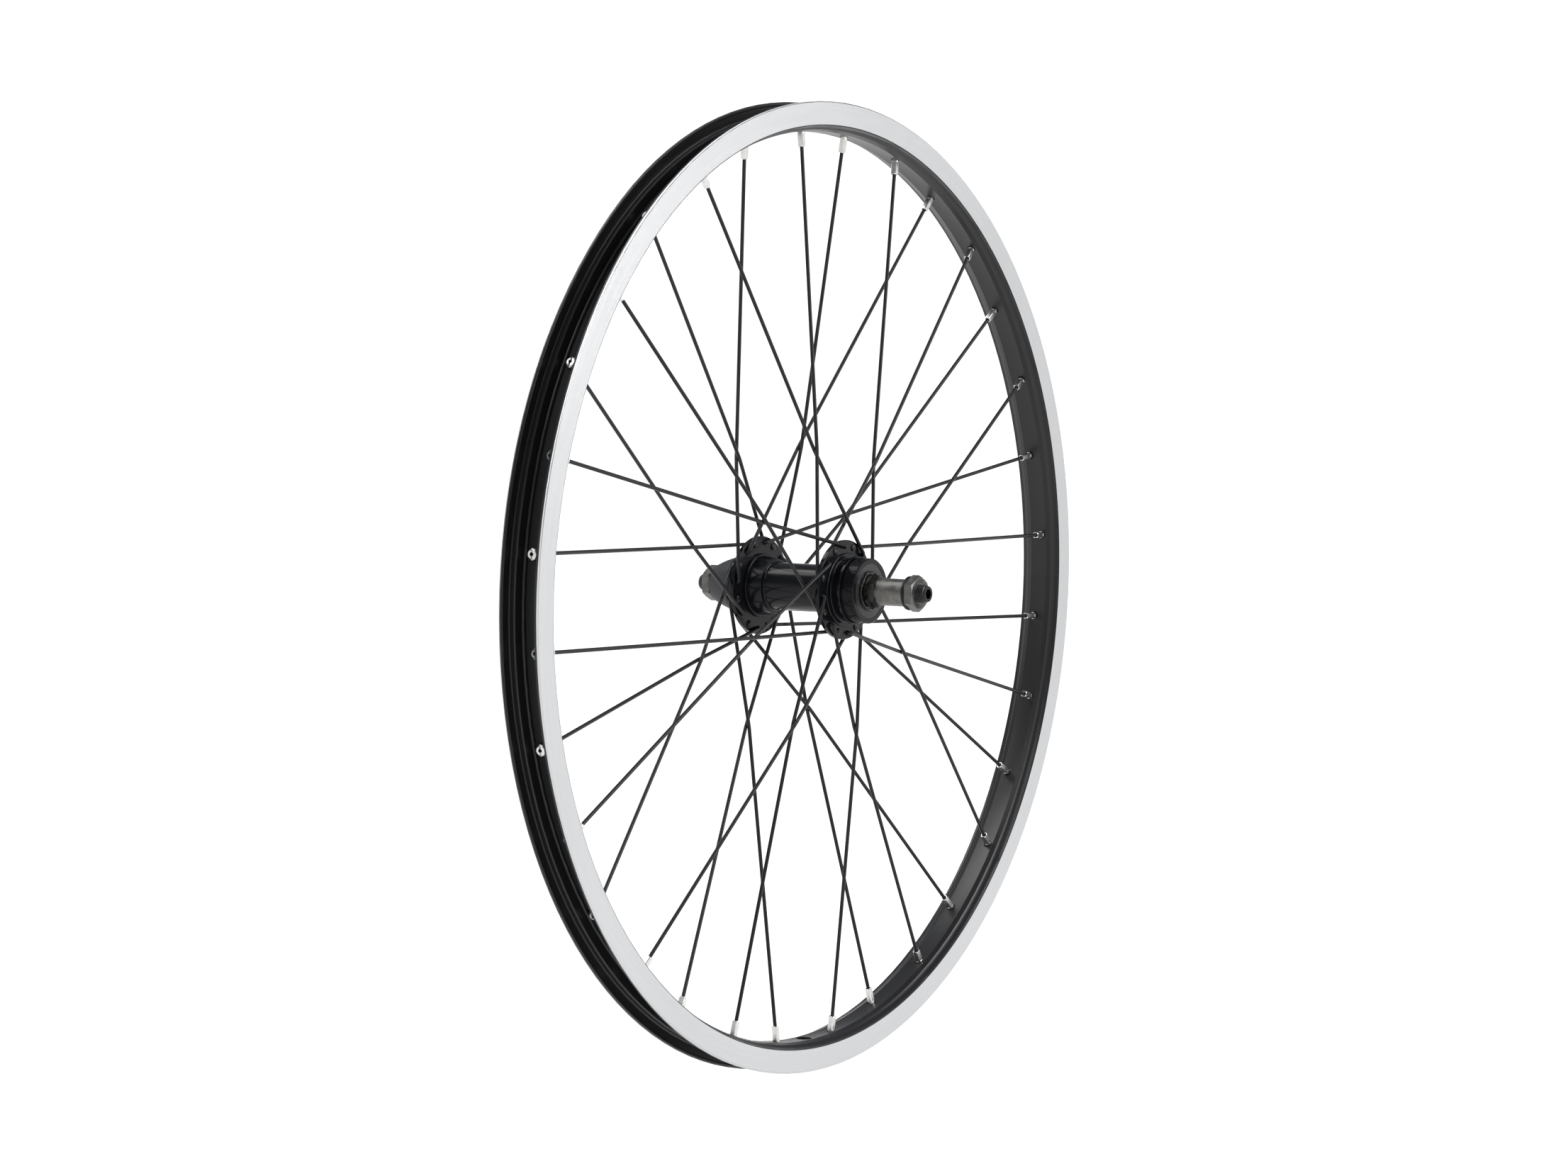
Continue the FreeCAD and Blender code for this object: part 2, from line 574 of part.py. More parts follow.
def make_nipple(side):
    """One nipple on the X axis, with zero at the middle of the rim's floor."""
    body = new_body(side + "_nipple_pattern")
    dip = "(nipple_seat_height * (nipple_hole_diameter - nipple_body_diameter)" \
          " / (nipple_head_diameter - nipple_body_diameter))"
    seat = "(floor_thickness / 2 + %s_seat_slack - %s)" % (side, dip)
    free_end = "-(floor_thickness / 2 + nipple_below_bed)"
    bore = "spoke_radius + thread_gap"
    mouth = "nipple_mouth_diameter / 2"
    crown = "%s + nipple_head_height" % seat
    corners = [
        (bore, free_end + " + nipple_mouth_depth"),
        (mouth, free_end + " + nipple_mouth_depth - 0.4"),
        (mouth, free_end),
        ("nipple_body_diameter / 2 - 0.35", free_end),
        ("nipple_body_diameter / 2", free_end + " + 0.5"),
        ("nipple_body_diameter / 2", seat),
        ("nipple_head_diameter / 2", seat + " + nipple_seat_height"),
        ("nipple_head_diameter / 2", crown + " - 1.1"),
        ("nipple_head_diameter / 2 - 1.1", crown, "1.1", 1),
        (bore, crown),
    ]
    swapped = []
    for corner in corners:
        rounding = (corner[2], -corner[3]) if len(corner) == 4 else ()
        swapped.append((corner[1], corner[0]) + rounding)
    revolve(body, side + "_nipple_turned", swapped, axis="H_Axis")
    flats = new_sketch(body, side + "_nipple_flats", "YZ_Plane")
    lift(flats, "-(floor_thickness / 2 + nipple_neck)")
    circle(flats, "0", "0", "nipple_head_diameter")
    half = "nipple_flats / 2"
    outline(flats, [(half, half), ("-" + half, half), ("-" + half, "-" + half), (half, "-" + half)])
    pocket(body, side + "_nipple_square", flats, "nipple_below_bed - nipple_neck")
    slot = new_sketch(body, side + "_nipple_slot", "YZ_Plane")
    lift(slot, crown)
    half_slot, half_head = "nipple_slot_width / 2", "nipple_head_diameter / 2"
    outline(slot, [(half_slot, half_head), ("-" + half_slot, half_head), ("-" + half_slot, "-" + half_head),
                   (half_slot, "-" + half_head)])
    pocket(body, side + "_nipple_slot_cut", slot, "nipple_slot_depth")
    return body


def lacing(side):
    """Every spoke of a side: its number, whether it lies outside the flange, its two angles."""
    first = -90 + size("half_pitch") / 2 * (1 if side == "drive" else -1)
    for number in range(int(size("spoke_count") // 2)):
        nipple_angle = first + 2 * size("half_pitch") * number
        outer = (number % 2 == 1) == (side == "drive")
        hub_angle = nipple_angle - size("lace_angle") * (1 if outer else -1)
        yield number, outer, nipple_angle, hub_angle


def make_lacing(side):
    for number, outer, nipple_angle, hub_angle in lacing(side):
        make_spoke("%s_spoke_%02d" % (side, number + 1), side, outer, nipple_angle, hub_angle)


def gather_nipples(side, pattern):
    """All nipples of one side: copies of the pattern, each on the line of its spoke's last stretch."""
    copies = []
    for _, outer, nipple_angle, hub_angle in lacing(side):
        frame = place_in_flange(side, nipple_angle, hub_angle)
        slope = math.degrees(math.atan(nipple_tilt(side, outer)))
        at_seat = Place(Vec(size("span"), -size(side + "_reach"), 0), Rot(Vec(0, 0, 1), slope))
        copy = pattern.Shape.copy()
        copy.Placement = frame.multiply(at_seat)
        copies.append(copy)
    group = doc.addObject("Part::Feature", side + "_nipples")
    group.Label = side + "_nipples"
    group.Shape = Part.makeCompound(copies)
    parts[side + "_nipples"] = group


# Bearings: pressed cup, loose balls, cone with spanner flats, dust cap. Outboard is +Y on the far side

def along(side, offset, outboard):
    """A place on the axle's line: so far outboard of an offset on one side."""
    sign = "-" if side == "drive" else ""
    return "%s(%s_%s + (%s))" % (sign, side, offset, outboard)


def sided(side, turn):
    return turn if side == "far" else -turn


def make_cup(side):
    body = new_body(side + "_cup")
    inboard = along(side, "bearing_offset", "-cup_inboard")
    outboard = along(side, "bearing_offset", "cup_outboard")
    lip = "ball_circle / 2 - race_radius * 0.34"
    corners = [
        (lip, inboard),
        ("cup_diameter / 2", inboard),
        ("cup_diameter / 2", outboard),
        ("ball_circle / 2 + race_radius + 0.35", outboard),
        ("ball_circle / 2 + race_radius * 0.98", along(side, "bearing_offset", "race_radius * 0.199")),
        (lip, along(side, "bearing_offset", "-race_radius * 0.9404"), "race_radius",
         sided(side, -1)),
    ]
    revolve(body, side + "_cup_turned", corners)
    body.Placement = turned(Place())
    parts[side + "_cup"] = body


def make_balls(side):
    balls = []
    for number in range(int(size("ball_count"))):
        ball = doc.addObject("Part::Sphere", "%s_ball_%d" % (side, number + 1))
        ball.setExpression("Radius", bound("ball_diameter / 2"))
        angle = math.radians(360 / size("ball_count") * number)
        arm = size("ball_circle") / 2
        row = worth(along(side, "bearing_offset", "0"))
        ball.Placement = Place(Vec(arm * math.cos(angle), row, arm * math.sin(angle)), Rot())
        balls.append(ball)
    group = doc.addObject("Part::Compound", side + "_balls")
    group.Label = side + "_balls"
    group.Links = balls
    parts[side + "_balls"] = group


def make_cone(side):
    body = new_body(side + "_cone")
    end = along(side, "cone_end", "0")
    nose = along(side, "bearing_offset", "-cone_nose")
    neck = along(side, "cone_end", "-cone_hex_length")
    corners = [
        ("axle_seat_radius", nose),
        ("ball_circle / 2 - race_radius * 0.9404 - 0.4", nose),
        ("ball_circle / 2 - race_radius * 0.9404", along(side, "bearing_offset", "-cone_nose + 0.5")),
        ("ball_circle / 2 - race_radius * 0.9404", along(side, "bearing_offset", "-race_radius * 0.34")),
        ("cone_shoulder", along(side, "bearing_offset", "race_radius * 0.9404"), "race_radius",
         sided(side, -1)),
        ("cone_shoulder", neck),
        ("cone_flats / 2 - 0.3", neck),
        ("cone_flats / 2 - 0.3", end),
        ("axle_seat_radius", end),
    ]
    revolve(body, side + "_cone_turned", corners)
    sketch = new_sketch(body, side + "_cone_hex", "XZ_Plane")
    lift(sketch, "-(%s)" % neck)
    hexagon(sketch, "cone_flats")
    circle(sketch, "0", "0", "2 * axle_seat_radius")
    block = pad(body, side + "_cone_flats", sketch, "cone_hex_length")
    block.Reversed = side == "far"
    parts[side + "_cone"] = body


def make_dust_cap(side):
    body = new_body(side + "_dust_cap")
    face = along(side, "shell_end", "-dust_cap_recess")
    back = along(side, "shell_end", "-dust_cap_recess - dust_cap_thickness")
    lip = along(side, "shell_end", "-dust_cap_recess + dust_cap_lip")
    corners = [
        ("cone_shoulder + seal_gap", back),
        ("dust_cap_diameter / 2", back),
        ("dust_cap_diameter / 2", face),
        ("cone_shoulder + seal_gap + 1.6", face),
        ("cone_shoulder + seal_gap + 1.1", lip),
        ("cone_shoulder + seal_gap", lip),
    ]
    revolve(body, side + "_dust_cap_pressed", corners)
    body.Placement = turned(Place())
    parts[side + "_dust_cap"] = body


# The axle and what is clamped on it

def make_axle():
    body = new_body("axle")
    end, tip = "axle_length / 2", "axle_length / 2 - axle_tip_length"
    stub = "axle_radius - dropout_relief"
    corners = [
        ("axle_bore / 2", "-" + end),
        ("axle_tip_diameter / 2", "-" + end),
        (stub, "-(%s)" % tip),
        (stub, "-over_locknuts / 2"),
        ("axle_radius", "-over_locknuts / 2"),
        ("axle_radius", "over_locknuts / 2"),
        (stub, "over_locknuts / 2"),
        (stub, tip),
        ("axle_tip_diameter / 2", end),
        ("axle_bore / 2", end),
    ]
    revolve(body, "axle_turned", corners)
    parts["axle"] = body


def make_ring(label, diameter, inner, outer):
    """A plain turned ring on the axle, between two places on its line."""
    body = new_body(label)
    corners = [
        ("axle_seat_radius", inner),
        (diameter + " / 2", inner),
        (diameter + " / 2", outer),
        ("axle_seat_radius", outer),
    ]
    revolve(body, label + "_turned", corners)
    parts[label] = body


def make_locknut(side):
    body = new_body(side + "_locknut")
    sketch = new_sketch(body, side + "_locknut_hex", "XZ_Plane")
    inner = "locknut_inner" if side == "far" else "-locknut_inner"
    outer = "over_locknuts / 2" if side == "far" else "-over_locknuts / 2"
    step = "-" if side == "far" else "+"
    lift(sketch, "-(%s)" % inner)
    hexagon(sketch, "locknut_flats")
    circle(sketch, "0", "0", "2 * axle_seat_radius")
    block = pad(body, side + "_locknut_block", sketch, "locknut_thickness")
    block.Reversed = side == "far"
    corner = "locknut_flats / sqrt(3) + 0.4"
    for name, face, back in (("outer", outer, step), ("inner", inner, "+" if step == "-" else "-")):
        trim = new_sketch(body, "%s_locknut_%s_chamfer" % (side, name))
        outline(trim, [("locknut_flats / 2 - 0.1", face), (corner, face),
                       (corner, "%s %s locknut_chamfer * 1.2" % (face, back))])
        groove = body.newObject("PartDesign::Groove", "%s_locknut_%s_cut" % (side, name))
        groove.Profile = trim
        groove.ReferenceAxis = (trim, ["V_Axis"])
        groove.Angle = 360.0
    parts[side + "_locknut"] = body


def make_boot():
    body = new_body("far_boot")
    corners = [
        ("boot_base_diameter / 2 - boot_wall", "boot_base"),
        ("boot_base_diameter / 2", "boot_base"),
        ("boot_base_diameter / 2", "boot_base + boot_lip"),
        ("boot_base_diameter / 2 - 0.4", "boot_base + boot_lip + 0.3"),
        ("boot_tip_diameter / 2 + 0.5", "locknut_inner - 0.6", "60", 1),
        ("boot_tip_diameter / 2", "locknut_inner", "0.9", 1),
        ("axle_seat_radius", "locknut_inner"),
        ("axle_seat_radius", "boot_web_inner"),
        ("boot_tip_diameter / 2 - boot_wall + 0.2", "boot_web_inner"),
        ("boot_base_diameter / 2 - boot_wall - 0.2", "boot_base + boot_lip"),
    ]
    revolve(body, "boot_moulded", corners)
    parts["far_boot"] = body


make_rim()
make_hub_shell()
make_axle()
for wheel_side in ("drive", "far"):
    make_lacing(wheel_side)
    make_cup(wheel_side)
    make_balls(wheel_side)
    make_cone(wheel_side)
    make_dust_cap(wheel_side)
    make_locknut(wheel_side)
make_ring("drive_spacer", "spacer_diameter", "-drive_cone_end", "-washer_inner")
make_ring("far_spacer", "spacer_diameter", "far_cone_end", "boot_web_inner")
make_ring("drive_washer", "washer_diameter", "-washer_inner", "-locknut_inner")
make_boot()
patterns = {wheel_side: make_nipple(wheel_side) for wheel_side in ("drive", "far")}
doc.recompute()
for wheel_side, pattern in patterns.items():
    gather_nipples(wheel_side, pattern)
doc.recompute()

for item in doc.Objects:
    if "Invalid" in item.State or "Error" in item.State:
        raise RuntimeError("%s did not build: %s" % (item.Label, item.State))
for node, item in parts.items():
    if item.Shape.isNull() or not item.Shape.isValid():
        raise RuntimeError("%s has no valid shape" % node)
for node, item in parts.items():
    item.Shape.exportStep("parts/%s.step" % node)
    print("%-16s %2d solid(s) %10.1f mm3" % (node, len(item.Shape.Solids), item.Shape.Volume))
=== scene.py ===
# %% [markdown]
# # A bicycle's rear wheel, lit like a catalogue picture
#
# The wheel has a black rim whose two sides were turned bright for the brake blocks, black spokes in
# silver nipples, and a gloss black hub with grey steel parts on its axle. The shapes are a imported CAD
# model, which is loaded as a fixed frame, and this script gives it its surfaces and its light, and
# adds what is too small for the model, such as the teeth on the nuts and the grease at a bearing.
#
# The model could be dragged in by hand, but one line loads it with every part in its true place.

# %% Load the wheel
import math

import bmesh
import bpy
from mathutils import Matrix, Vector, noise


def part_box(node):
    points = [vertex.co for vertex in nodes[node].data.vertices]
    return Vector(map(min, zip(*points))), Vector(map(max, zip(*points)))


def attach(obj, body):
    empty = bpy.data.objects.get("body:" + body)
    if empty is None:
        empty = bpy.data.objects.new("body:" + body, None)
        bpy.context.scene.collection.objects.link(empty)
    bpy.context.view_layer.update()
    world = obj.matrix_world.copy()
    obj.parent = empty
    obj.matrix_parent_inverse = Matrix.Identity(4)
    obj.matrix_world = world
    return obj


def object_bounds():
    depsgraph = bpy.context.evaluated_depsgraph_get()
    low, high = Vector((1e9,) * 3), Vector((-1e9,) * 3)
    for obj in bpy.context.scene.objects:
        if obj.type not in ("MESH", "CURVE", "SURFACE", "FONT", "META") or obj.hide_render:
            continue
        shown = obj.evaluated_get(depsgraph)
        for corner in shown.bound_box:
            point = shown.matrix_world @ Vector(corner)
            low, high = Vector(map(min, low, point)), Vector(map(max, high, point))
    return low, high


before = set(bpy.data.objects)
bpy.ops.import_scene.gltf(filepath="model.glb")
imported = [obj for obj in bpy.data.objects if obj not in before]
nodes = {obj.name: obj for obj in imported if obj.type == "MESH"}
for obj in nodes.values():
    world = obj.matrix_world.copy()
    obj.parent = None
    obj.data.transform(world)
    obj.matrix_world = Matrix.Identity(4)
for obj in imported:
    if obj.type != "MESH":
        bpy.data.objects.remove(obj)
cad_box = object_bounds()

# %% [markdown]
# ## Sizes
#
# Places in the materials could be typed as numbers, but they would drift from the model if it
# changed. Most are read from the boxes of the parts, and only the surface's own sizes, such as the
# pitch of a thread, are stated here. The axle lies along Y, and the drive side is at -Y.

# %% Read the sizes from the parts
MM = 0.001
rim_radius = max(math.hypot(spot.co.x, spot.co.z) for spot in nodes["rim"].data.vertices)
rim_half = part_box("rim")[1].y
track_width = 12.4 * MM
track_inner = rim_radius - track_width
shell_low, shell_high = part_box("hub_shell")
locknut_face = abs(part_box("drive_locknut")[0].y)
cap_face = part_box("drive_dust_cap")[0].y
axle_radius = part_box("axle")[1].x
print("rim radius", round(rim_radius / MM, 1), "mm, half width", round(rim_half / MM, 2), "mm")
print("hub shell from", round(shell_low.y / MM, 1), "to", round(shell_high.y / MM, 1), "mm")

# %% [markdown]
# ## The camera
#
# The picture was taken from a little above the axle and 56 degrees round from its drive end, with a
# long lens, so the far side of the rim is hardly smaller than the near side. A camera can be aimed
# with a Track To constraint. Here its three directions are worked out and put straight in its matrix,
# because then it has no roll and nothing is left for a constraint to move.

# %% Place the camera
camera_azimuth = math.radians(-56.39)
camera_height = math.radians(4.688)
camera_distance = 7.7655 * rim_radius
aim_left = 0.0607 * rim_radius
focal_length_px = 5287.4
picture_width_px = 2212
sensor_width_mm = 36


def way_to(azimuth, height):
    """The way from the hub to a place in the studio; azimuth 0 is straight out from the drive side."""
    level = math.cos(height)
    return Vector((math.sin(azimuth) * level, -math.cos(azimuth) * level, math.sin(height)))


backwards = way_to(camera_azimuth, camera_height)
rightwards = Vector((math.cos(camera_azimuth), math.sin(camera_azimuth), 0))
upwards = backwards.cross(rightwards)

scene = bpy.context.scene
camera = bpy.data.objects.new("camera", bpy.data.cameras.new("camera"))
scene.collection.objects.link(camera)
camera.matrix_world = Matrix((rightwards, upwards, backwards)).transposed().to_4x4()
camera.location = backwards * camera_distance - rightwards * aim_left
camera.data.sensor_width = sensor_width_mm
camera.data.lens = focal_length_px / picture_width_px * sensor_width_mm
bpy.context.scene.camera = camera
print("camera", round(camera_distance, 2), "m away, lens", round(camera.data.lens, 1), "mm")

# %% [markdown]
# ## Writing a finish as a sum
#
# A finish is a tree of nodes, and long trees are hard to read. It could be drawn in the shader editor,
# but here a small class wraps a socket, so that `1 - mask` or `radius * 40` adds the Math node by
# itself. Only numbers go this way, because a Math node turns a colour grey.

# %% Wrap a socket
class Amount:
    """A socket that carries a number and can be used in sums."""

    def __init__(self, owner, socket):
        self.owner = owner
        self.socket = socket

    def _math(self, operation, first, second=None):
        sockets = {0: first} if second is None else {0: first, 1: second}
        return self.owner.node("ShaderNodeMath", {"operation": operation}, sockets)

    def __add__(self, other):
        return self._math("ADD", self, other)

    def __sub__(self, other):
        return self._math("SUBTRACT", self, other)

    def __rsub__(self, other):
        return self._math("SUBTRACT", other, self)

    def __mul__(self, other):
        return self._math("MULTIPLY", self, other)

    def __truediv__(self, other):
        return self._math("DIVIDE", self, other)

    def __rtruediv__(self, other):
        return self._math("DIVIDE", other, self)

    __radd__ = __add__
    __rmul__ = __mul__

    def root(self):
        return self._math("SQRT", self)

    def absolute(self):
        return self._math("ABSOLUTE", self)

    def fraction(self):
        return self._math("FRACT", self)


print("sums of sockets are ready")

# %% [markdown]
# ## One way to make any node
#
# Every other node comes from one method, which sets the node's own settings first and then joins its
# sockets. Node groups could hold the ramps and masks, but short methods do the same and stay in view.

# %% Make nodes
class Nodes:
    """The nodes of a world or a material, with the few ways of making them that this wheel needs."""

    def __init__(self, owner):
        owner.use_nodes = True
        self.tree = owner.node_tree
        self.tree.nodes.clear()

    def join(self, value, socket):
        if isinstance(value, Amount):
            self.tree.links.new(value.socket, socket)
        elif isinstance(value, tuple) and socket.type == "RGBA":
            socket.default_value = (*value, 1)
        else:
            socket.default_value = value

    def node(self, kind, settings, sockets, output=0):
        """Make a node, and return its output, or nothing where output is None."""
        made = self.tree.nodes.new(kind)
        for name, value in settings.items():
            setattr(made, name, value)
        for key, value in sockets.items():
            self.join(value, made.inputs[key])
        return None if output is None else Amount(self, made.outputs[output])

    def split(self, vector):
        """The X, Y and Z of a vector."""
        parts = self.node("ShaderNodeSeparateXYZ", {}, {"Vector": vector}).socket.node
        return [Amount(self, parts.outputs[axis]) for axis in "XYZ"]

    def fade(self, value, start, end, low=0.0, high=1.0):
        """Low before start and high after end, with an even ramp between."""
        sockets = {"Value": value, "From Min": start, "From Max": end, "To Min": low, "To Max": high}
        return self.node("ShaderNodeMapRange", {"clamp": True}, sockets)

    def band(self, value, low, high, soft):
        """1 between low and high, and 0 outside."""
        return self.fade(value, low - soft, low) * self.fade(value, high, high + soft, 1.0, 0.0)

    def mix(self, share, first, second):
        """A colour between two others: a Mix node's colours are its sockets 6 and 7, and output 2."""
        return self.node("ShaderNodeMix", {"data_type": "RGBA"}, {0: share, 6: first, 7: second}, 2)


print("nodes can be made")

# %% [markdown]
# ## A finish knows its place on the wheel
#
# Nearly everything on a wheel goes by the radius from the axle, the place along it and the turn about
# it. An unwrapped map could carry them, but they follow from the Object coordinates, so each finish
# works them out once. Noises are given per millimetre, and reliefs in millimetres.

# %% Make a finish
class Finish(Nodes):
    """A material on a Principled shader, which knows where it is on the wheel."""

    def __init__(self, name, **plain):
        self.material = bpy.data.materials.new(name)
        super().__init__(self.material)
        bsdf = self.node("ShaderNodeBsdfPrincipled", {}, {})
        self.shader = bsdf.socket.node
        self.node("ShaderNodeOutputMaterial", {}, {"Surface": bsdf}, None)
        self.set(**plain)
        self.place = self.node("ShaderNodeTexCoord", {}, {}, "Object")
        across, self.along, up = self.split(self.place)
        self.radius = (across * across + up * up).root()
        self.turn = self.node("ShaderNodeMath", {"operation": "ARCTAN2"}, {0: up, 1: across})

    def set(self, **values):
        """Set or join the shader's sockets: base_color is its Base Color."""
        for name, value in values.items():
            self.join(value, self.shader.inputs[name.replace("_", " ").title().replace("Ior", "IOR")])

    def noise(self, per_mm, detail=2.0, place=None):
        sockets = {"Vector": place or self.place, "Scale": per_mm / MM, "Detail": detail}
        return self.node("ShaderNodeTexNoise", {}, sockets, "Fac")

    def lathe_place(self, turn_share, along_share=1.0):
        """A place for noises that a lathe stretches into rings: the turn about the axle hardly counts."""
        sockets = {"X": self.radius, "Y": self.turn * turn_share, "Z": self.along * along_share}
        return self.node("ShaderNodeCombineXYZ", {}, sockets)

    def thread(self, pitch):
        """A triangle wave along the axle that climbs with the turn, as a helix does."""
        climb = (self.along / pitch + self.turn / (2 * math.pi)).fraction()
        return (climb - 0.5).absolute() * 2

    def relief(self, height, depth_mm):
        """Raise the surface by height, a number from 0 to 1, times a depth in millimetres."""
        sockets = {"Strength": 1.0, "Distance": depth_mm * MM, "Height": height}
        self.set(normal=self.node("ShaderNodeBump", {}, sockets))

    def put_on(self, *names):
        for name in names:
            data = nodes[name].data
            data.materials.clear()
            data.materials.append(self.material)
        print(self.material.name, "on", len(names), "part(s)")


print("finishes can be made")

# %% [markdown]
# ## The studio
#
# Catalogue wheels stand on a sheet of white that is lit from below and behind, in a room that is dim
# above. A photograph of a studio could light the scene, but a world whose shade goes by height does the
# same with nothing to load: white up to a little above the horizon, and grey overhead. So the ground
# behind the wheel is pure white, and the black parts stay black.

# %% Make the world
white_up_to = math.sin(math.radians(6))
grey_from = math.sin(math.radians(18))
white_light = (1.3, 1.3, 1.3)
overhead_light = (0.30, 0.31, 0.33)

world = bpy.data.worlds.new("white_ground_dim_room")
scene.world = world
scene.view_settings.view_transform = "Standard"
room = Nodes(world)
upward = room.split(room.node("ShaderNodeTexCoord", {}, {}, "Generated"))[2]
shade = room.mix(room.fade(upward, white_up_to, grey_from), white_light, overhead_light)
background = room.node("ShaderNodeBackground", {}, {"Color": shade})
room.node("ShaderNodeOutputWorld", {}, {"Surface": background}, None)
print("white up to", round(white_up_to, 3), "and grey from", round(grey_from, 3), "of the height")

# %% [markdown]
# ## The floor
#
# The floor is white paper over a light table, made from one wide circle. A bare white shader would
# show a grey seam at the horizon, so the paper shines a little itself, and a faint noise gives it its
# tooth.

# %% Lay and paint the floor
floor_radius = 40
floor_gap = 0.3 * MM

sheet = bmesh.new()
bmesh.ops.create_circle(sheet, cap_ends=True, segments=96, radius=floor_radius)
bmesh.ops.translate(sheet, verts=sheet.verts, vec=(0, 0, cad_box[0].z - floor_gap))
floor = bpy.data.objects.new("floor", bpy.data.meshes.new("floor"))
sheet.to_mesh(floor.data)
sheet.free()
scene.collection.objects.link(floor)

paper = Finish("lit_paper", roughness=0.9, specular_ior_level=0.0)
paper.set(emission_color=(1, 1, 1), emission_strength=1.08)
fleck = paper.noise(0.06, 4.0)
paper.set(base_color=paper.mix(fleck, (0.26, 0.26, 0.26), (0.30, 0.30, 0.30)))
paper.relief(fleck, 0.2)
floor.data.materials.append(paper.material)
print("floor", floor_gap / MM, "mm below the wheel")

# %% [markdown]
# ## The lamps
#
# Four soft boxes light the wheel. They could be planes that shine, but area lights give the same broad
# streaks with less noise. Three hang far off. The fourth is near, before the drive side, because the
# turned rings of the rim throw its light to the camera from the upper left of the picture.

# %% Hang the lamps
def soft_box(name, azimuth, height, distance, width, watts):
    """A square area light that looks at the hub from an azimuth and a height in degrees."""
    light = bpy.data.lights.new(name, "AREA")
    light.shape = "SQUARE"
    light.size = width
    light.energy = watts
    towards = way_to(math.radians(azimuth), math.radians(height))
    lamp = bpy.data.objects.new(name, light)
    lamp.location = towards * distance
    lamp.rotation_mode = "QUATERNION"
    lamp.rotation_quaternion = towards.to_track_quat("Z", "Y")
    scene.collection.objects.link(lamp)
    print(name, watts, "W")


soft_box("key_light", azimuth=-100, height=50, distance=2.6, width=1.4, watts=26)
soft_box("front_light", azimuth=25, height=38, distance=2.8, width=1.6, watts=46)
soft_box("back_light", azimuth=190, height=52, distance=2.6, width=1.2, watts=26)
soft_box("near_light", azimuth=17, height=22, distance=0.98, width=0.5, watts=5)

# %% [markdown]
# ## The rim
#
# The rim is an aluminium hoop, anodised black all over, and then turned on both sides, where the
# brake blocks press, back to bright metal. Two materials could be given to two sets of faces, but the
# two surfaces are one piece, so one finish tells them apart by place: the bright part is where the
# side is widest and outside the step, and at the outer corner of each lip, which the same tool rounds.

# %% Find the turned places of the rim
rim_finish = Finish("turned_and_black_rim", specular_ior_level=0.3)
lip_corner = 1.0 * MM
track_slack, track_blend = 0.14 * MM, 0.08 * MM
step_height = 0.35 * MM
blend = 0.1 * MM


def past(value, start, width=blend):
    """1 where the value is past start, with a short blend."""
    return rim_finish.fade(value, start, start + width)


side = rim_finish.along.absolute()
track = past(side, rim_half - track_slack, track_blend) * past(rim_finish.radius, track_inner - blend / 2)
corner = past(side, rim_half - lip_corner) * past(rim_finish.radius, rim_radius - lip_corner)
turned = rim_finish.fade(track + corner, 0.0, 1.0)
# A band of radius in the step below the track, which carries a painted shade.
step_painted_shade = rim_finish.band(rim_finish.radius, track_inner - step_height, track_inner - 0.02 * MM, blend / 2)
print("brake track", round(track_width / MM, 1), "mm wide, bright corners", lip_corner / MM, "mm")

# %% [markdown]
# ## The rim's two surfaces
#
# The turning tool leaves rings about the axle. A picture of brushed metal would need an unwrapped map,
# so the rings are a noise that is stretched along the circle. The black is dyed into a fine grain, and
# a painted shade darkens it in the step below the track, where no light gets in.

# %% Make the rim's finish
ring_place = rim_finish.lathe_place(0.004, 0.2)
tool_rings = rim_finish.noise(5.2, 3.0, ring_place)
wide_rings = rim_finish.noise(0.7, 2.0, ring_place)
cloud = rim_finish.noise(0.009, 3.0)
grain = rim_finish.noise(2.6)
bright_share = tool_rings * 0.5 + wide_rings * 0.3 + cloud * 0.2
bright = rim_finish.mix(bright_share, (0.405, 0.41, 0.415), (0.54, 0.545, 0.55))
black = rim_finish.mix(cloud * 0.6 + grain * 0.4, (0.005, 0.005, 0.0055), (0.012, 0.012, 0.013))
# Painted shade: the black is darkened further in the step, where no light gets in.
black = rim_finish.mix(step_painted_shade * 0.5, black, (0.004, 0.004, 0.004))
rim_finish.set(
    base_color=rim_finish.mix(turned, black, bright),
    metallic=turned,
    roughness=turned * (0.28 + tool_rings * 0.14) + (1 - turned) * (0.26 + grain * 0.08 + cloud * 0.06),
)
rim_finish.relief(turned * (tool_rings * 0.7 + wide_rings * 0.3) + (1 - turned) * grain * 0.5, 0.04)
rim_finish.put_on("rim")

# %% [markdown]
# ## The spokes
#
# A spoke is drawn steel wire with a thin black coat. It could be plain black, but drawing leaves fine
# scratches along it, and where two spokes touch at their last crossing the coat is rubbed. The
# crossing lies at one distance from the axle, so a narrow band of radius finds it on every spoke.

# %% Make the spokes' finish
crossing_radius = 77.5 * MM
rub_half, rub_blend = 1.2 * MM, 1.5 * MM
rub_from, rub_to = crossing_radius - rub_half, crossing_radius + rub_half

spoke_finish = Finish("black_wire", metallic=0.4, specular_ior_level=0.22)
scratches = spoke_finish.noise(1.8, 3.0)
patches = spoke_finish.noise(0.09)
at_crossing = spoke_finish.band(spoke_finish.radius, rub_from, rub_to, rub_blend)
rubbed = at_crossing * spoke_finish.fade(scratches, 0.5, 0.62)
coat = spoke_finish.mix(patches, (0.008, 0.008, 0.0085), (0.02, 0.02, 0.021))
spoke_finish.set(
    base_color=spoke_finish.mix(rubbed * 0.3, coat, (0.1, 0.1, 0.1)),
    roughness=0.3 + scratches * 0.16,
)
spoke_finish.relief(scratches, 0.02)
spoke_finish.put_on(*[name for name in nodes if "_spoke_" in name])

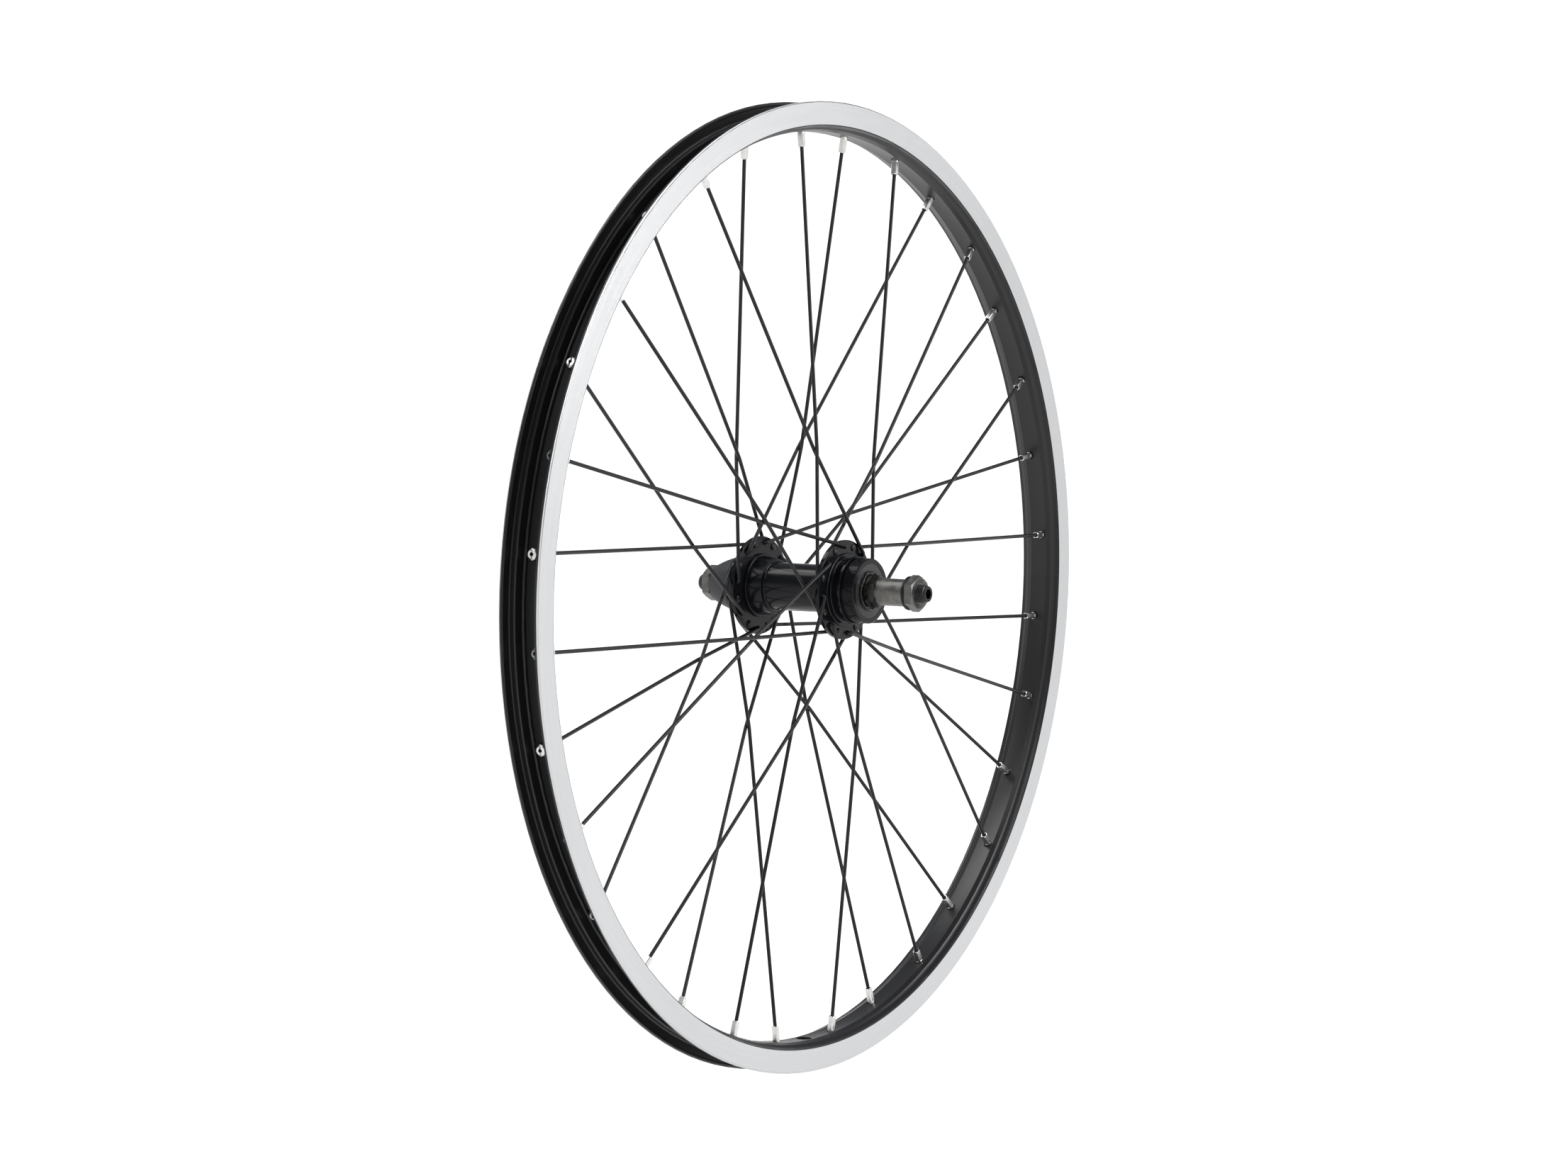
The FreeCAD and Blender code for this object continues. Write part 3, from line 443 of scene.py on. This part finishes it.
# %% [markdown]
# ## The nipples
#
# Nipples are brass, turned on a lathe and plated with nickel, and they are the brightest points of
# the wheel. Chrome would be too blue and too clean. The plating here is a warm pale grey with small
# dents from the spoke key on the square part.

# %% Make the nipples' finish
nickel = Finish("nickel_plate", metallic=1.0)
tint = nickel.noise(0.3)
dents = nickel.noise(1.5)
nickel.set(
    base_color=nickel.mix(tint, (0.46, 0.455, 0.44), (0.66, 0.655, 0.64)),
    roughness=0.2 + dents * 0.12,
)
nickel.relief(dents, 0.015)
nickel.put_on("drive_nipples", "far_nipples")

# %% [markdown]
# ## The hub shell
#
# The shell is forged and turned aluminium with a glossy black finish. Its screw thread could be cut
# as a mesh, but a picture shows it at two or three pixels a turn, so it is relief: a triangle wave
# that climbs with the turn about the axle as a real helix does, with painted shade darkening its
# valleys. The last turns run out in the undercut beside the thread.

# %% Make the hub shell's finish
inch = 25.4 * MM
turns_per_inch = 24
thread_pitch = inch / turns_per_inch
runout_from, thread_end = 28.3 * MM, 35.8 * MM
thread_radius = 17.45 * MM

shell_finish = Finish("gloss_black_shell", specular_ior_level=0.1, coat_weight=0.12, coat_roughness=0.05)
turned_rings = shell_finish.noise(2.4, 2.0, shell_finish.lathe_place(0.01))
haze = shell_finish.noise(0.07, 3.0)
tooth = shell_finish.thread(thread_pitch)
outer_wall = shell_finish.fade(shell_finish.radius, thread_radius - 1.0 * MM, thread_radius - 0.8 * MM)
in_thread = shell_finish.band(shell_finish.along, -thread_end, -runout_from, 0.05 * MM) * outer_wall
# A mask of the thread's valleys, which carries a painted shade.
valley_painted_shade = in_thread * shell_finish.fade(tooth, 0.0, 0.7, 1.0, 0.0)
paint = shell_finish.mix(haze, (0.002, 0.0022, 0.003), (0.0058, 0.0062, 0.0078))
shell_finish.set(
    # Painted shade: the base colour is darkened in the thread's valleys.
    base_color=shell_finish.mix(valley_painted_shade * 0.8, paint, (0.002, 0.002, 0.002)),
    roughness=0.15 + haze * 0.08 + turned_rings * 0.05,
)
shell_finish.relief(in_thread * tooth + (1 - in_thread) * turned_rings * 0.006, 0.5)
shell_finish.put_on("hub_shell")

# %% [markdown]
# ## The dust caps
#
# A dust cap is pressed from thin steel and plated black. It could be one dull black, but grease creeps
# out beside the cone, so the cap is wet near its hole and dull outside, with a ragged line between.

# %% Make the dust caps' finish
wet_to, dry_from = 11.5 * MM, 13.0 * MM
ragged_by = 3 * MM

cap_finish = Finish("black_cap", specular_ior_level=0.3)
smear = cap_finish.noise(0.5, 3.0)
wet = cap_finish.fade(cap_finish.radius + smear * ragged_by, wet_to, dry_from, 1.0, 0.0)
dry_black = cap_finish.mix(smear, (0.009, 0.009, 0.0095), (0.022, 0.022, 0.023))
cap_finish.set(
    base_color=cap_finish.mix(wet, dry_black, (0.005, 0.0045, 0.004)),
    roughness=wet * 0.15 + (1 - wet) * (0.32 + smear * 0.15),
)
cap_finish.relief(smear, 0.08)
cap_finish.put_on("drive_dust_cap", "far_dust_cap")

# %% [markdown]
# ## Steel inside the hub
#
# The cups and balls are bright hard steel under a film of grease. Nobody sees them unless the wheel is
# taken apart, and plain steel would do, but a cut through the model shows them, so they get their film.

# %% Make the bearings' finish
bearing_finish = Finish("greased_steel", metallic=0.9)
film = bearing_finish.noise(0.26, 3.0)
bearing_finish.set(
    base_color=bearing_finish.mix(film, (0.55, 0.55, 0.56), (0.4, 0.34, 0.26)),
    roughness=0.12 + film * 0.15,
)
bearing_finish.relief(film, 0.05)
bearing_finish.put_on("drive_cup", "far_cup", "drive_balls", "far_balls")

# %% [markdown]
# ## What is clamped on the axle
#
# Cones are ground steel, dark from hardening. The spacer, washer and nuts are plain steel that has
# dulled to a warm grey, with the rings of the turning tool on them. Each could have its own tree, but
# they differ only in shade, gloss and depth of the rings, so one function makes all four.

# %% Make the steel finishes
def turned_steel(name, dark, light, roughness, ring_depth_mm):
    """Steel off a lathe: rings along its length, and a mottled stain."""
    steel = Finish(name, metallic=0.9)
    rings = steel.noise(1.6, 2.0, steel.lathe_place(0.02))
    stain = steel.fade(steel.noise(0.26, 5.0), 0.32, 0.68)
    steel.set(
        base_color=steel.mix(stain * 0.7 + rings * 0.3, dark, light),
        roughness=roughness + stain * 0.2,
    )
    steel.relief(rings, ring_depth_mm)
    return steel


cone_steel = turned_steel("hardened_steel", (0.02, 0.02, 0.02), (0.085, 0.083, 0.08), 0.18, 0.02)
cone_steel.put_on("drive_cone", "far_cone")
spacer_steel = turned_steel("dull_steel", (0.075, 0.073, 0.068), (0.18, 0.176, 0.166), 0.32, 0.03)
spacer_steel.put_on("drive_spacer", "far_spacer")
washer_steel = turned_steel("dark_washer", (0.012, 0.012, 0.012), (0.03, 0.03, 0.03), 0.4, 0.02)
washer_steel.put_on("drive_washer")
nut_steel = turned_steel("nut_steel", (0.065, 0.065, 0.063), (0.14, 0.138, 0.132), 0.32, 0.02)
nut_steel.put_on("drive_locknut", "far_locknut")

# %% [markdown]
# ## The axle
#
# The axle is a steel tube, blackened, with a rolled thread. The thread could be cut in the mesh, but as
# on the shell it is relief, on the outside only, which the radius tells from the bore. Its crests are
# also painted lighter and its valleys darker, as painted highlight and painted shade.

# %% Make the axle's finish
axle_pitch = 1.0 * MM

axle_finish = Finish("blackened_axle", metallic=0.6, specular_ior_level=0.3)
soot = axle_finish.noise(0.4, 3.0)
outside = axle_finish.fade(axle_finish.radius, axle_radius - 0.9 * MM, axle_radius - 0.5 * MM)
# The thread's height: it drives the relief, and also a painted highlight on the crests and painted shade in
# the valleys.
crest_height_and_painted_light = outside * axle_finish.thread(axle_pitch)
axle_finish.set(
    # Painted highlight and shade: the crests are lighter and the valleys darker.
    base_color=axle_finish.mix(crest_height_and_painted_light, (0.008, 0.008, 0.008), (0.05, 0.05, 0.05)),
    roughness=0.28 + soot * 0.16,
)
axle_finish.relief(crest_height_and_painted_light, 0.4)
axle_finish.put_on("axle")

# %% [markdown]
# ## The boot
#
# The boot is a dark moulded cone that keeps dirt from the far bearing. Flat black would look like
# paint. Plastic from a mould has a fine matt grain, a little scuffing and no shine, so its roughness is
# high and its relief small.

# %% Make the boot's finish
boot_finish = Finish("matt_boot", specular_ior_level=0.3)
grit = boot_finish.noise(3.2)
scuffs = boot_finish.noise(0.15, 4.0)
boot_finish.set(
    base_color=boot_finish.mix(scuffs * 0.7 + grit * 0.3, (0.012, 0.0125, 0.0135), (0.026, 0.027, 0.03)),
    roughness=0.5 + scuffs * 0.12,
)
boot_finish.relief(grit, 0.03)
boot_finish.put_on("far_boot")

# %% [markdown]
# ## Teeth on the locknuts
#
# The outer face of a locknut has a ring of small radial teeth that bite into the frame. They could be
# relief as well, but they break the nut's edge of light, so they are made: one wedge, copied round the
# axle by the Spin operator.

# %% Model the teeth
def new_piece(name, mesh, finish, body):
    """Close a bmesh into an object of the wheel."""
    bmesh.ops.remove_doubles(mesh, verts=mesh.verts, dist=1e-7)
    bmesh.ops.recalc_face_normals(mesh, faces=mesh.faces)
    made = bpy.data.objects.new(name, bpy.data.meshes.new(name))
    mesh.to_mesh(made.data)
    mesh.free()
    made.data.materials.append(finish.material)
    scene.collection.objects.link(made)
    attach(made, body)
    print(name, len(made.data.polygons), "faces")


tooth_count = 36
tooth_from, tooth_to = 5.6 * MM, 7.9 * MM
tooth_height = 0.3 * MM
tooth_share = 0.8
crest_share = 0.05


def locknut_teeth(name, side_sign):
    """A ring of wedges on a locknut's outer face; side_sign is -1 on the drive side."""
    mesh = bmesh.new()
    tooth_width = 2 * math.pi * tooth_from / tooth_count * tooth_share
    bmesh.ops.create_cube(mesh, size=1)
    bmesh.ops.scale(mesh, verts=mesh.verts, vec=(tooth_to - tooth_from, 2 * tooth_height, tooth_width))
    crest_ends = [vertex for vertex in mesh.verts if vertex.co.y > 0]
    bmesh.ops.scale(mesh, verts=crest_ends, vec=(1, 1, crest_share))
    bmesh.ops.translate(mesh, verts=mesh.verts, vec=((tooth_from + tooth_to) / 2, locknut_face, 0))
    bmesh.ops.scale(mesh, verts=mesh.verts, vec=(1, side_sign, 1))
    bmesh.ops.spin(mesh, geom=mesh.faces[:], cent=(0, 0, 0), axis=(0, 1, 0), dvec=(0, 0, 0),
                   angle=2 * math.pi * (1 - 1 / tooth_count), steps=tooth_count - 1, use_duplicate=True)
    new_piece(name, mesh, nut_steel, "axle_set")


locknut_teeth("drive_locknut_teeth", -1)
locknut_teeth("far_locknut_teeth", 1)

# %% [markdown]
# ## Grease at the cone
#
# Assembly grease has come out between the drive side's cone and its dust cap, as an uneven dark bead.
# Sculpting it would be quick by hand. Here a thin ring is spun about the axle, and each of its points
# is pushed about by a noise, which always gives the same bead.

# %% Model the grease
grease = Finish("dark_grease", specular_ior_level=0.25)
lump = grease.noise(0.9, 3.0)
grease.set(
    base_color=grease.mix(lump, (0.003, 0.003, 0.0025), (0.010, 0.009, 0.008)),
    roughness=0.18 + lump * 0.25,
)
grease.relief(lump, 0.2)

bead_radius, bead_size = 9.9 * MM, 0.8 * MM
bead_sunk = 0.25 * MM
bead_sides, bead_steps = 8, 120
lumps_per_metre = 330
lump_height = 0.9 * MM
most_inward = -0.1 * MM
sideways_share = 0.7

bead = bmesh.new()
bmesh.ops.create_circle(bead, segments=bead_sides, radius=bead_size)
bmesh.ops.translate(bead, verts=bead.verts, vec=(bead_radius, cap_face + bead_sunk, 0))
bmesh.ops.spin(bead, geom=bead.edges[:], cent=(0, 0, 0), axis=(0, 1, 0), dvec=(0, 0, 0),
               angle=2 * math.pi, steps=bead_steps, use_merge=True)
for vertex in bead.verts:
    spot = vertex.co.copy()
    push = noise.noise(spot * lumps_per_metre) * lump_height
    outward = Vector((spot.x, 0, spot.z)).normalized()
    vertex.co = spot + outward * max(push, most_inward) + Vector((0, -abs(push) * sideways_share, 0))
for face in bead.faces:
    face.smooth = True
new_piece("drive_grease", bead, grease, "wheel")
